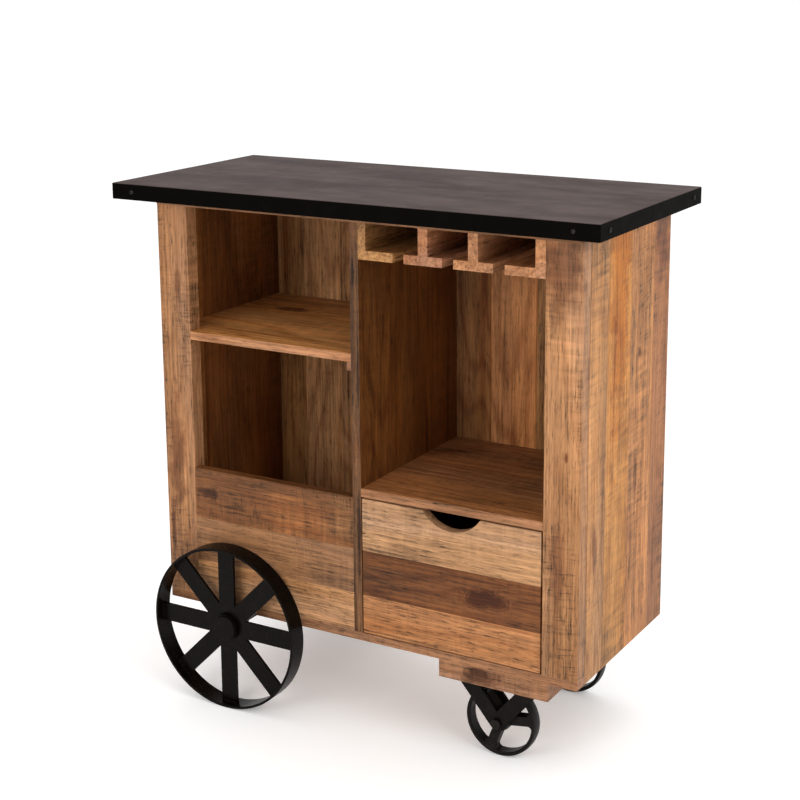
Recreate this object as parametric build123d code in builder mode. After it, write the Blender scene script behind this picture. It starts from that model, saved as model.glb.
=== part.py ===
"""Bar cart on wheels: a plank cabinet with a folded metal top, a stemware rack, a drawer and an
open bin, standing on two large spoked wheels at the left and two small casters at the right.

Frame: +X along the top towards the casters, +Y from the front to the back, +Z up.
The origin is on the floor, at the middle of the overall footprint. All sizes are in millimetres.
"""

from build123d import *
import math
import os

# ---------------------------------------------------------------- driving sizes
# Top
TOP_LENGTH = 890.0
TOP_DEPTH = 410.0
TOP_HEIGHT = 914.0
RIM_HEIGHT = 27.0
SHEET = 1.5
FOLD_RADIUS = 2.0
CORE_CLEARANCE = 0.5
FRONT_OVERHANG = 56.0
BACK_OVERHANG = 7.0
SIDE_OVERHANG = 49.0
RIM_SCREW_INSET_X = 42.0
RIM_SCREW_INSET_Y = 35.0

# Cabinet
BOTTOM_BOARD = 14.0
CARCASS_TOP = 14.0
SIDE_THICKNESS = 18.0
SIDE_PLANKS = (67.0, 90.0, 94.0, 68.0)
POST_WIDTH = 62.0
POST_DEPTH = 28.0
DIVIDER_THICKNESS = 16.0
DIVIDER_OFFSET = -2.7
BACK_THICKNESS = 16.0
BACK_PLANKS = (58.0, 78.0, 86.0, 78.0, 81.0, 70.0, 89.0, 82.0, 68.0, 66.0)
NARROWEST_PLANK = 30.0
GROOVE = 1.4
EDGE_ROUND = 1.6

# Shelves, bin and cleats
SHELF_THICKNESS = 15.0
LEFT_SHELF_TOP = 658.0
RIGHT_SHELF_TOP = 432.0
FRONT_BOARD = 18.0
BIN_TOP = 414.0
LOW_SEAM = 247.0
HIGH_SEAM = 325.0
CLEAT_WIDTH = 8.0
CLEAT_HEIGHT = 14.0
BATTEN = 18.0
BATTEN_DROP = 14.0

# Stemware rack
RACK_FLANGE = 15.0
RACK_WEB = 17.0
RACK_END_WEB = 14.0
RACK_DROP = 59.0
STEM_SLOT = 20.0
FIRST_FLANGE = 64.0

# Drawer
DRAWER_GAP_LEFT = 2.0
DRAWER_GAP_RIGHT = 2.5
DRAWER_GAP_TOP = 2.5
DRAWER_GAP_BOTTOM = 1.5
DRAWER_BACK_GAP = 13.0
DRAWER_SIDE = 12.0
DRAWER_BOTTOM = 6.0
DRAWER_BOTTOM_LIFT = 8.0
DRAWER_GROOVE = 5.0
RUNNER_WIDTH = 22.0
RUNNER_HEIGHT = 9.0
RUNNING_GAP = 0.3
KICKER_GAP = 2.0
KICKER_SETBACK = 4.0
GUIDE_HEIGHT = 40.0
STOP_WIDTH = 20.0
FINGER_CHORD = 104.0
FINGER_DEPTH = 28.0
FINGER_OFFSET = 3.5

# Caster block and casters
BLOCK_INSET = 50.0
BLOCK_LENGTH = 196.0
BLOCK_THICKNESS = 30.0
CASTER_OFFSET = -4.0
CASTER_TOP_GAP = 5.0
CASTER_WIDTH = 22.0
CASTER_CROWN = 1.5
CASTER_RIM = 5.0
CASTER_HUB_RADIUS = 16.0
CASTER_WEB = 18.0
CASTER_SPOKE = 16.0
CASTER_SPOKES = 3
CASTER_SPOKE_PHASE = 9.0
CASTER_HUB_PROUD = 7.0
RIM_TAPER = 2.5
HUB_TAPER = 2.0
WINDOW_ROUND = 6.0
CASTER_SIDE_GAP = 0.3
STRAP_THICKNESS = 5.0
STRAP_WIDTH = 26.0
STRAP_ANGLE = 40.0
STRAP_TIP = 17.0
CASTER_INSET_FRONT = 48.0
CASTER_INSET_BACK = 29.0
PLATE_THICKNESS = 4.0
PLATE_MARGIN = 8.0
PLATE_DEPTH = 50.0
AXLE_BOLT_RADIUS = 5.0
BOLT_HEAD_AF = 16.0
BOLT_HEAD = 6.0
BOLT_END = 2.0
HEX_CHAMFER = 0.8
BUSH_WALL = 3.0
PLATE_SCREWS_X = 100.0
PLATE_SCREWS_Y = 16.0

# Large wheels and their axle
WHEEL_RADIUS = 145.5
WHEEL_OVERRUN = 3.5
AXLE_DROP = 19.5
HOOP_WIDTH = 35.0
HOOP_THICKNESS = 4.5
HOOP_CHAMFER = 0.6
WHEEL_GAP = 8.0
SPOKES = 8
SPOKE_WIDTH = 32.0
SPOKE_THICKNESS = 5.0
HUB_RADIUS = 24.0
HUB_PROUD = 8.0
HUB_BEHIND = 12.0
CAP_THICKNESS = 3.0
CAP_INSET = 2.0
CAP_ROUND = 1.5
AXLE_RADIUS = 10.0
AXLE_STUB_RADIUS = 7.0
AXLE_STUB = 11.0
NUT_POCKET_GAP = 2.0
NUT_POCKET = 14.0
NUT_AF = 22.0
NUT_HEIGHT = 8.0
WASHER_RADIUS = 15.0
WASHER = 2.0
COLLAR_RADIUS = 16.0
COLLAR = 6.0
HANGER_WIDTH = 28.0
HANGER_SETBACK = 12.0
HANGER_PLATE = 5.0
HANGER_FOOT = 34.0

# Fasteners and fits
RUNNING_CLEARANCE = 0.06
HOLE_CLEARANCE = 0.05
SCREW_RADIUS = 1.8
SCREW_HEAD_RADIUS = 3.8
SCREW_HEAD = 2.4
SCREW_LENGTH = 18.0
PLATE_SCREW_RADIUS = 2.5
PLATE_SCREW_HEAD_RADIUS = 4.6
PLATE_SCREW_HEAD = 2.8
SCREW_GRIP = 20.0
FOOT_SCREW_COVER = 3.0
TOP_SCREW_LENGTH = 30.0
TOP_SCREW_INSET = 22.0
TOP_SCREW_SETBACK = 60.0

# ---------------------------------------------------------------- places worked out from them
overall_depth = SCREW_HEAD + TOP_DEPTH - BACK_OVERHANG + WHEEL_GAP + HOOP_WIDTH
top_front = SCREW_HEAD - overall_depth / 2
top_back = top_front + TOP_DEPTH
top_mid = (top_front + top_back) / 2
front = top_front + FRONT_OVERHANG
back = top_back - BACK_OVERHANG
post_back = front + POST_DEPTH
back_front = back - BACK_THICKNESS
left = SIDE_OVERHANG - TOP_LENGTH / 2
right = TOP_LENGTH / 2 - SIDE_OVERHANG
inner_left = left + SIDE_THICKNESS
inner_right = right - SIDE_THICKNESS
post_left = left + POST_WIDTH
post_right = right - POST_WIDTH
divider_left = DIVIDER_OFFSET - DIVIDER_THICKNESS / 2
divider_right = DIVIDER_OFFSET + DIVIDER_THICKNESS / 2
underside = WHEEL_RADIUS + AXLE_DROP
floor_z = underside + BOTTOM_BOARD
rim_bottom = TOP_HEIGHT - RIM_HEIGHT
ceiling = rim_bottom - CARCASS_TOP
left_shelf_bottom = LEFT_SHELF_TOP - SHELF_THICKNESS
right_shelf_bottom = RIGHT_SHELF_TOP - SHELF_THICKNESS

wheel_x = left + WHEEL_RADIUS - WHEEL_OVERRUN
block_right = right - BLOCK_INSET
block_left = block_right - BLOCK_LENGTH
block_bottom = underside - BLOCK_THICKNESS
plate_bottom = block_bottom - PLATE_THICKNESS
caster_x = (block_left + block_right) / 2 + CASTER_OFFSET
caster_radius = (plate_bottom - CASTER_TOP_GAP) / 2

os.makedirs("parts", exist_ok=True)


def seams(start, end, widths):
    """Where planks of these widths, taken in turn, meet between two edges."""
    places = [start]
    while end - places[-1] - widths[(len(places) - 1) % len(widths)] > NARROWEST_PLANK:
        places.append(places[-1] + widths[(len(places) - 1) % len(widths)])
    return [*places, end]


def save(name, *solids):
    """Writes one node, which is one solid or a group of separate ones."""
    piece = solids[0] if len(solids) == 1 else Compound(children=list(solids))
    piece.label = name
    export_step(piece, f"parts/{name}.step")


def board(x_span, y_span, z_span):
    """A plain board between two corners."""
    with BuildPart() as plain:
        with Locations([(sum(x_span) / 2, sum(y_span) / 2, sum(z_span) / 2)]):
            Box(x_span[1] - x_span[0], y_span[1] - y_span[0], z_span[1] - z_span[0])
    return plain.part


def eased_post(x_span, y_span, z_span):
    """A post with its upright edges softened."""
    with BuildPart() as eased:
        add(board(x_span, y_span, z_span))
        fillet(eased.edges().filter_by(Axis.Z), EDGE_ROUND)
    return eased.part


def notched_board(x_span, z_span, notch_x_span):
    """A shelf from the cabinet's front to its back boards, cut round the front post."""
    with BuildPart() as notched:
        add(board(x_span, (front, back_front), z_span))
        add(board(notch_x_span, (front, post_back), z_span), mode=Mode.SUBTRACT)
        front_edges = notched.edges().filter_by(Axis.X).group_by(Axis.Y)[0]
        fillet(front_edges, EDGE_ROUND)
    return notched.part


# ---------------------------------------------------------------- metal top and its core
rim_screw_z = TOP_HEIGHT - RIM_HEIGHT / 2
rim_screw_planes = []
for screw_x in (-TOP_LENGTH / 2 + RIM_SCREW_INSET_X, TOP_LENGTH / 2 - RIM_SCREW_INSET_X):
    rim_screw_planes.append(Plane((screw_x, top_front, rim_screw_z), (1, 0, 0), (0, -1, 0)))
    rim_screw_planes.append(Plane((screw_x, top_back, rim_screw_z), (1, 0, 0), (0, 1, 0)))
for screw_y in (top_front + RIM_SCREW_INSET_Y, top_back - RIM_SCREW_INSET_Y):
    rim_screw_planes.append(Plane((-TOP_LENGTH / 2, screw_y, rim_screw_z), (0, 1, 0), (-1, 0, 0)))
    rim_screw_planes.append(Plane((TOP_LENGTH / 2, screw_y, rim_screw_z), (0, 1, 0), (1, 0, 0)))
screw_hole = SCREW_RADIUS + HOLE_CLEARANCE

with BuildPart() as top_cover:
    with BuildSketch(Plane.XY.offset(rim_bottom)):
        with Locations([(0, top_mid)]):
            Rectangle(TOP_LENGTH, TOP_DEPTH)
    extrude(amount=RIM_HEIGHT)
    fillet(top_cover.edges().filter_by(Axis.Z), FOLD_RADIUS)
    fillet(top_cover.edges().group_by(Axis.Z)[-1], FOLD_RADIUS)
    offset(amount=-SHEET, openings=top_cover.faces().sort_by(Axis.Z)[0])
    for plane in rim_screw_planes:
        with BuildSketch(plane):
            Circle(screw_hole)
        extrude(amount=-3 * SHEET, mode=Mode.SUBTRACT)
save("top_cover", top_cover.part)

top_screw_places = [
    (x + TOP_SCREW_INSET, y)
    for x in (inner_left, divider_right + RACK_END_WEB, post_right)
    for y in (front + TOP_SCREW_SETBACK, back - TOP_SCREW_SETBACK)
]
with BuildPart() as top_core:
    core_inset = SHEET + CORE_CLEARANCE
    with BuildSketch(Plane.XY.offset(rim_bottom)):
        with Locations([(0, top_mid)]):
            Rectangle(TOP_LENGTH - 2 * core_inset, TOP_DEPTH - 2 * core_inset)
    extrude(amount=RIM_HEIGHT - SHEET)
    for plane in rim_screw_planes:
        with BuildSketch(plane):
            Circle(screw_hole)
        extrude(amount=-SCREW_LENGTH - HOLE_CLEARANCE, mode=Mode.SUBTRACT)
    with BuildSketch(Plane.XY.offset(rim_bottom)):
        with Locations(top_screw_places):
            Circle(screw_hole)
    extrude(amount=TOP_SCREW_LENGTH - CARCASS_TOP + HOLE_CLEARANCE, mode=Mode.SUBTRACT)
save("top_core", top_core.part)


def dome_screw(plane, shank_radius, head_radius, head_height, length):
    """A screw seated on a plane: a domed head outside it and a plain shank inside it."""
    cap_radius = (head_radius**2 + head_height**2) / (2 * head_height)
    with BuildPart(plane) as screw:
        Cylinder(shank_radius, length, align=(Align.CENTER, Align.CENTER, Align.MAX))
        with BuildSketch(Plane.XZ):
            with BuildLine():
                Line((0, 0), (head_radius, 0))
                RadiusArc((head_radius, 0), (0, head_height), -cap_radius)
                Line((0, head_height), (0, 0))
            make_face()
        revolve(axis=Axis.Z)
    return screw.part


def placed_screw(plane, shank_radius, head_radius, head_height, length):
    """The same screw, made upright at the origin and moved to its plane."""
    upright = dome_screw(Plane.XY, shank_radius, head_radius, head_height, length)
    return plane.location * upright


rim_screws = [
    placed_screw(plane, SCREW_RADIUS, SCREW_HEAD_RADIUS, SCREW_HEAD, SCREW_LENGTH)
    for plane in rim_screw_planes
]
save("rim_screws", *rim_screws)

# ---------------------------------------------------------------- cabinet shell
with BuildPart() as carcass_top:
    add(board((left, right), (front, back), (ceiling, rim_bottom)))
    with BuildSketch(Plane.XY.offset(ceiling)):
        with Locations(top_screw_places):
            Circle(screw_hole)
    extrude(amount=CARCASS_TOP, mode=Mode.SUBTRACT)
save("carcass_top", carcass_top.part)

top_screws = [
    placed_screw(
        Plane((x, y, ceiling), (1, 0, 0), (0, 0, -1)),
        SCREW_RADIUS, SCREW_HEAD_RADIUS, SCREW_HEAD, TOP_SCREW_LENGTH,
    )
    for x, y in top_screw_places
]
save("top_screws", *top_screws)

hanger_ys = (front + HANGER_SETBACK, back - HANGER_SETBACK)
foot_screw_y = HANGER_PLATE + (HANGER_FOOT - HANGER_PLATE) / 2
foot_screw_places = [
    (wheel_x + side * HANGER_WIDTH / 4, y + inward * foot_screw_y)
    for y, inward in zip(hanger_ys, (1, -1))
    for side in (-1, 1)
]
plate_hole = PLATE_SCREW_RADIUS + HOLE_CLEARANCE
foot_screw_length = HANGER_PLATE + BOTTOM_BOARD - FOOT_SCREW_COVER
with BuildPart() as bottom_board:
    add(board((left, right), (front, back), (underside, floor_z)))
    for side_span in ((left, inner_left), (inner_right, right)):
        side_slot = board(side_span, (post_back, back), (underside, floor_z))
        add(side_slot, mode=Mode.SUBTRACT)
    with BuildSketch(Plane.XY.offset(underside)):
        with Locations(foot_screw_places):
            Circle(plate_hole)
    extrude(amount=foot_screw_length - HANGER_PLATE + HOLE_CLEARANCE, mode=Mode.SUBTRACT)
    fillet(bottom_board.edges().filter_by(Axis.Z).group_by(Axis.Y)[0], EDGE_ROUND)
save("bottom_board", bottom_board.part)

save("front_post_left", eased_post((left, post_left), (front, post_back), (floor_z, ceiling)))
save("front_post_right", eased_post((post_right, right), (front, post_back), (floor_z, ceiling)))

plank_ys = seams(post_back, back, SIDE_PLANKS)
for side_name, side_span in (("left", (left, inner_left)), ("right", (inner_right, right))):
    planks = [
        board(side_span, (y0, y1), (underside, ceiling))
        for y0, y1 in zip(plank_ys, plank_ys[1:])
    ]
    save(f"side_planks_{side_name}", *planks)

divider_span = (divider_left, divider_right)
save("centre_divider", board(divider_span, (front, back_front), (floor_z, ceiling)))

back_xs = seams(inner_left, inner_right, BACK_PLANKS)
back_planks = []
for x0, x1 in zip(back_xs, back_xs[1:]):
    with BuildPart() as back_plank:
        add(board((x0, x1), (back_front, back), (floor_z, ceiling)))
        chamfer(back_plank.edges().filter_by(Axis.Z).group_by(Axis.Y)[0], GROOVE)
    back_planks.append(back_plank.part)
save("back_boards", *back_planks)

# ---------------------------------------------------------------- shelves and their cleats
left_shelf_x = (inner_left, divider_left)
right_shelf_x = (divider_right, inner_right)
left_shelf_z = (left_shelf_bottom, LEFT_SHELF_TOP)
right_shelf_z = (right_shelf_bottom, RIGHT_SHELF_TOP)
save("left_shelf", notched_board(left_shelf_x, left_shelf_z, (inner_left, post_left)))
save("right_shelf", notched_board(right_shelf_x, right_shelf_z, (post_right, inner_right)))

left_cleat_z = (left_shelf_bottom - CLEAT_HEIGHT, left_shelf_bottom)
save(
    "left_shelf_cleats",
    board((inner_left, inner_left + CLEAT_WIDTH), (post_back, back_front), left_cleat_z),
    board((divider_left - CLEAT_WIDTH, divider_left), (front, back_front), left_cleat_z),
)
cleat_front = front + FRONT_BOARD + KICKER_SETBACK
right_cleat_z = (right_shelf_bottom - CLEAT_HEIGHT, right_shelf_bottom)
save(
    "right_shelf_cleats",
    board((divider_right, divider_right + CLEAT_WIDTH), (cleat_front, back_front), right_cleat_z),
    board((inner_right - CLEAT_WIDTH, inner_right), (post_back, back_front), right_cleat_z),
)

# ---------------------------------------------------------------- bin front and its battens
front_board_y = (front, front + FRONT_BOARD)
bin_x = (post_left, divider_left)
save("bin_board_low", board(bin_x, front_board_y, (floor_z, LOW_SEAM)))
save("bin_board_middle", board(bin_x, front_board_y, (LOW_SEAM, HIGH_SEAM)))
with BuildPart() as bin_board_top:
    add(board(bin_x, front_board_y, (HIGH_SEAM, BIN_TOP)))
    fillet(bin_board_top.edges().filter_by(Axis.X).group_by(Axis.Z)[-1], EDGE_ROUND)
save("bin_board_top", bin_board_top.part)

batten_y = (front + FRONT_BOARD, front + FRONT_BOARD + BATTEN)
batten_z = (floor_z, BIN_TOP - BATTEN_DROP)
with BuildPart() as post_batten:
    add(board((inner_left, post_left + BATTEN), batten_y, batten_z))
    add(board((inner_left, post_left), (batten_y[0], post_back), batten_z), mode=Mode.SUBTRACT)
save(
    "bin_battens",
    post_batten.part,
    board((divider_left - BATTEN, divider_left), batten_y, batten_z),
)

# ---------------------------------------------------------------- stemware rack
rack_bottom = ceiling - RACK_DROP
rack_z = (rack_bottom, rack_bottom + RACK_FLANGE)
web_z = (rack_z[1], ceiling)
rack_y = (front, back_front)
full_flange = (post_right - divider_right - FIRST_FLANGE - 3 * STEM_SLOT) / 3
flange_x = divider_right
for number, flange_width in enumerate((FIRST_FLANGE, full_flange, full_flange, full_flange)):
    flange_right = flange_x + flange_width
    middle = (flange_x + flange_right) / 2
    if number == 0:
        web_x = (flange_x, flange_x + RACK_END_WEB)
    elif number == 3:
        web_x = (flange_right - RACK_WEB, flange_right)
    else:
        web_x = (middle - RACK_WEB / 2, middle + RACK_WEB / 2)
    flange = board((flange_x, flange_right), rack_y, rack_z)
    save(f"rack_runner_{number + 1}", flange, board(web_x, rack_y, web_z))
    flange_x = flange_right + STEM_SLOT

# ---------------------------------------------------------------- drawer
drawer_x = (divider_right + DRAWER_GAP_LEFT, post_right - DRAWER_GAP_RIGHT)
drawer_z = (floor_z + DRAWER_GAP_BOTTOM, right_shelf_bottom - DRAWER_GAP_TOP)
side_left_x = (drawer_x[0], drawer_x[0] + DRAWER_SIDE)
side_right_x = (drawer_x[1] - DRAWER_SIDE, drawer_x[1])
side_y = (front + FRONT_BOARD, back_front - DRAWER_BACK_GAP)
side_z = (floor_z + RUNNER_HEIGHT + RUNNING_GAP, right_cleat_z[0] - KICKER_GAP)
panel_bottom = side_z[0] + DRAWER_BOTTOM_LIFT
panel_z = (panel_bottom, panel_bottom + DRAWER_BOTTOM)
panel_x = (side_left_x[1] - DRAWER_GROOVE, side_right_x[0] + DRAWER_GROOVE)
panel_y = (side_y[0] - DRAWER_GROOVE, side_y[1])
finger_x = (drawer_x[0] + drawer_x[1]) / 2 + FINGER_OFFSET
finger_radius = ((FINGER_CHORD / 2) ** 2 + FINGER_DEPTH**2) / (2 * FINGER_DEPTH)

drawer_bottom = board(panel_x, panel_y, panel_z)
save("drawer_bottom", drawer_bottom)
for side_name, side_x in (("left", side_left_x), ("right", side_right_x)):
    with BuildPart() as drawer_side:
        add(board(side_x, side_y, side_z))
        add(drawer_bottom, mode=Mode.SUBTRACT)
    save(f"drawer_side_{side_name}", drawer_side.part)
back_x = (side_left_x[1], side_right_x[0])
back_y = (side_y[1] - DRAWER_SIDE, side_y[1])
save("drawer_back", board(back_x, back_y, (panel_z[1], side_z[1])))

drawer_boards = {
    "low": (drawer_z[0], LOW_SEAM),
    "middle": (LOW_SEAM, HIGH_SEAM),
    "top": (HIGH_SEAM, drawer_z[1]),
}
for board_name, board_z in drawer_boards.items():
    with BuildPart() as drawer_board:
        add(board(drawer_x, front_board_y, board_z))
        add(drawer_bottom, mode=Mode.SUBTRACT)
        with BuildSketch(Plane.XZ.offset(-front)):
            with Locations([(finger_x, drawer_z[1] - FINGER_DEPTH + finger_radius)]):
                Circle(finger_radius)
        extrude(amount=-FRONT_BOARD, mode=Mode.SUBTRACT)
    save(f"drawer_board_{board_name}", drawer_board.part)

runner_y = (front + FRONT_BOARD, back_front)
runner_z = (floor_z, floor_z + RUNNER_HEIGHT)
runner_left_x = (divider_right, divider_right + RUNNER_WIDTH)
runner_right_x = (side_right_x[1] - RUNNER_WIDTH, post_right)
guide_x = (post_right, post_right + DRAWER_SIDE)
save("drawer_runner_left", board(runner_left_x, runner_y, runner_z))
save("drawer_runner_right", board(runner_right_x, runner_y, runner_z))
save("drawer_guide", board(guide_x, (post_back, back_front), (floor_z, floor_z + GUIDE_HEIGHT)))
stop_y = (side_y[1] + RUNNING_GAP, back_front)
stop_z = (runner_z[1], runner_z[1] + STOP_WIDTH)
save(
    "drawer_stops",
    board((divider_right, divider_right + STOP_WIDTH), stop_y, stop_z),
    board((post_right - STOP_WIDTH, post_right), stop_y, stop_z),
)

# ---------------------------------------------------------------- caster block and casters
plate_screw_length = PLATE_THICKNESS + SCREW_GRIP
caster_ys = {"front": front + CASTER_INSET_FRONT, "back": back - CASTER_INSET_BACK}
plate_screw_places = [
    (caster_x + across, y + along)
    for y in caster_ys.values()
    for across in (-PLATE_SCREWS_X / 2, PLATE_SCREWS_X / 2)
    for along in (-PLATE_SCREWS_Y / 2, PLATE_SCREWS_Y / 2)
]
with BuildPart() as caster_block:
    add(board((block_left, block_right), (front, back), (block_bottom, underside)))
    with BuildSketch(Plane.XY.offset(block_bottom)):
        with Locations(plate_screw_places):
            Circle(plate_hole)
    block_hole = plate_screw_length - PLATE_THICKNESS + HOLE_CLEARANCE
    extrude(amount=block_hole, mode=Mode.SUBTRACT)
    fillet(caster_block.edges().filter_by(Axis.Z).group_by(Axis.Y)[0], EDGE_ROUND)
save("caster_block", caster_block.part)

strap_rise = plate_bottom - caster_radius
strap_half = STRAP_WIDTH / 2
lean = math.radians(STRAP_ANGLE)
leg_reach = strap_rise * math.tan(lean)
leg_half = strap_half / math.cos(lean)
crotch = strap_half / math.sin(lean)
tip_half = (crotch - STRAP_TIP) * math.tan(lean)
plate_half = leg_reach + leg_half + PLATE_MARGIN
strap_outline = [
    (-tip_half, -STRAP_TIP),
    (tip_half, -STRAP_TIP),
    (leg_reach + leg_half, strap_rise),
    (leg_reach - leg_half, strap_rise),
    (0, crotch),
    (leg_half - leg_reach, strap_rise),
    (-leg_reach - leg_half, strap_rise),
]


def upright(x, y, z, turn=0.0):
    """A plane facing the front, at a point, turned about its normal by some degrees."""
    along = (math.cos(math.radians(turn)), 0, math.sin(math.radians(turn)))
    return Plane((x, y, z), x_dir=along, z_dir=(0, -1, 0))


def v_strap(y0):
    """A flat V-shaped strap: two legs from the plate down to the axle bolt."""
    with BuildPart() as strap:
        with BuildSketch(upright(caster_x, y0, caster_radius)):
            with BuildLine():
                Polyline(*strap_outline, close=True)
            make_face()
            Circle(AXLE_BOLT_RADIUS + HOLE_CLEARANCE, mode=Mode.SUBTRACT)
        extrude(amount=-STRAP_THICKNESS)
    return strap.part


def hexagon_piece(x, z, y0, y1, across_flats):
    """A hexagonal head or nut along Y."""
    with BuildPart() as hexagon:
        with BuildSketch(upright(x, y0, z)):
            RegularPolygon(across_flats / 2, 6, major_radius=False)
        extrude(amount=y0 - y1)
        ends = hexagon.faces().filter_by(Axis.Y)
        chamfer(ends.edges(), HEX_CHAMFER)
    return hexagon.part


def round_bar(x, z, y0, y1, radius, hole_radius=0.0):
    """A round bar or tube along Y."""
    with BuildPart() as bar:
        with BuildSketch(upright(x, y0, z)):
            Circle(radius)
            if hole_radius:
                Circle(hole_radius, mode=Mode.SUBTRACT)
        extrude(amount=y0 - y1)
    return bar.part


hub_half = CASTER_WIDTH / 2 + CASTER_HUB_PROUD
strap_inner = hub_half + CASTER_SIDE_GAP
strap_outer = strap_inner + STRAP_THICKNESS
bush_radius = AXLE_BOLT_RADIUS + RUNNING_CLEARANCE + BUSH_WALL
rim_half = CASTER_WIDTH / 2
rim_inner = caster_radius - CASTER_RIM
rim_foot = rim_inner - RIM_TAPER
shoulder = caster_radius - CASTER_CROWN
hub_foot = CASTER_HUB_RADIUS + HUB_TAPER
caster_bolts = []
caster_nuts = []
caster_plates = []
plate_screws = []
for end_name, y in caster_ys.items():
    with BuildPart() as plate:
        plate_x = (caster_x - plate_half, caster_x + plate_half)
        plate_y = (y - PLATE_DEPTH / 2, y + PLATE_DEPTH / 2)
        add(board(plate_x, plate_y, (plate_bottom, block_bottom)))
        with BuildSketch(Plane.XY.offset(plate_bottom)):
            with Locations([(caster_x, y)]):
                with GridLocations(PLATE_SCREWS_X, PLATE_SCREWS_Y, 2, 2):
                    Circle(plate_hole)
        extrude(amount=PLATE_THICKNESS, mode=Mode.SUBTRACT)
    caster_plates.append(plate.part)
    save(f"caster_{end_name}_strap_outer", v_strap(y - strap_outer))
    save(f"caster_{end_name}_strap_inner", v_strap(y + strap_inner))

    with BuildPart() as caster_wheel:
        with BuildSketch(Plane((caster_x, y, caster_radius), (0, 1, 0), (1, 0, 0))):
            with BuildLine():
                Polyline(
                    (rim_half, shoulder),
                    (rim_half, rim_inner),
                    (CASTER_WEB / 2, rim_foot),
                    (CASTER_WEB / 2, hub_foot),
                    (hub_half, CASTER_HUB_RADIUS),
                    (hub_half, bush_radius),
                    (-hub_half, bush_radius),
                    (-hub_half, CASTER_HUB_RADIUS),
                    (-CASTER_WEB / 2, hub_foot),
                    (-CASTER_WEB / 2, rim_foot),
                    (-rim_half, rim_inner),
                    (-rim_half, shoulder),
                )
                ThreePointArc((-rim_half, shoulder), (0, caster_radius), (rim_half, shoulder))
            make_face()
        revolve(axis=Axis((caster_x, y, caster_radius), (0, 1, 0)))
        with BuildSketch(upright(caster_x, y, caster_radius)) as windows:
            Circle(rim_foot)
            Circle(hub_foot, mode=Mode.SUBTRACT)
            with PolarLocations(caster_radius / 2, CASTER_SPOKES, CASTER_SPOKE_PHASE):
                Rectangle(caster_radius, CASTER_SPOKE, mode=Mode.SUBTRACT)
            fillet(windows.vertices(), WINDOW_ROUND)
        extrude(amount=hub_half, both=True, mode=Mode.SUBTRACT)
    save(f"caster_{end_name}_wheel", caster_wheel.part)
    bush = round_bar(
        caster_x, caster_radius, y - hub_half, y + hub_half,
        bush_radius, AXLE_BOLT_RADIUS + RUNNING_CLEARANCE,
    )
    save(f"caster_{end_name}_bush", bush)

    bolt_end = strap_outer + BOLT_HEAD + BOLT_END
    with BuildPart() as bolt:
        add(round_bar(caster_x, caster_radius, y - strap_outer, y + bolt_end, AXLE_BOLT_RADIUS))
        head_y = y - strap_outer - BOLT_HEAD
        add(hexagon_piece(caster_x, caster_radius, head_y, y - strap_outer, BOLT_HEAD_AF))
    caster_bolts.append(bolt.part)
    with BuildPart() as nut:
        nut_y = (y + strap_outer, y + strap_outer + BOLT_HEAD)
        add(hexagon_piece(caster_x, caster_radius, *nut_y, BOLT_HEAD_AF))
        add(
            round_bar(caster_x, caster_radius, *nut_y, AXLE_BOLT_RADIUS + HOLE_CLEARANCE),
            mode=Mode.SUBTRACT,
        )
    caster_nuts.append(nut.part)
save("caster_plates", *caster_plates)
save("caster_bolts_and_nuts", *caster_bolts, *caster_nuts)
for x, y in plate_screw_places:
    plate_screws.append(
        placed_screw(
            Plane((x, y, plate_bottom), (1, 0, 0), (0, 0, -1)),
            PLATE_SCREW_RADIUS, PLATE_SCREW_HEAD_RADIUS, PLATE_SCREW_HEAD, plate_screw_length,
        )
    )
save("caster_plate_screws", *plate_screws)

# ---------------------------------------------------------------- large wheels
# Each wheel is described from its outer side, the side away from the cabinet. The front wheel's
# outward direction is -Y and the back wheel's is +Y.
hoop_inner = WHEEL_RADIUS - HOOP_THICKNESS
wheel_outsides = {
    "front": (front - WHEEL_GAP - HOOP_WIDTH, -1),
    "back": (back + WHEEL_GAP + HOOP_WIDTH, 1),
}
spoke_outer = (HOOP_WIDTH - SPOKE_THICKNESS) / 2
hub_outer = spoke_outer - HUB_PROUD
hub_inner = spoke_outer + SPOKE_THICKNESS + HUB_BEHIND


def wheel_span(outside, outward, near, far):
    """The Y span between two depths measured inwards from a wheel's outer edge."""
    return tuple(sorted((outside - outward * near, outside - outward * far)))


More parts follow.
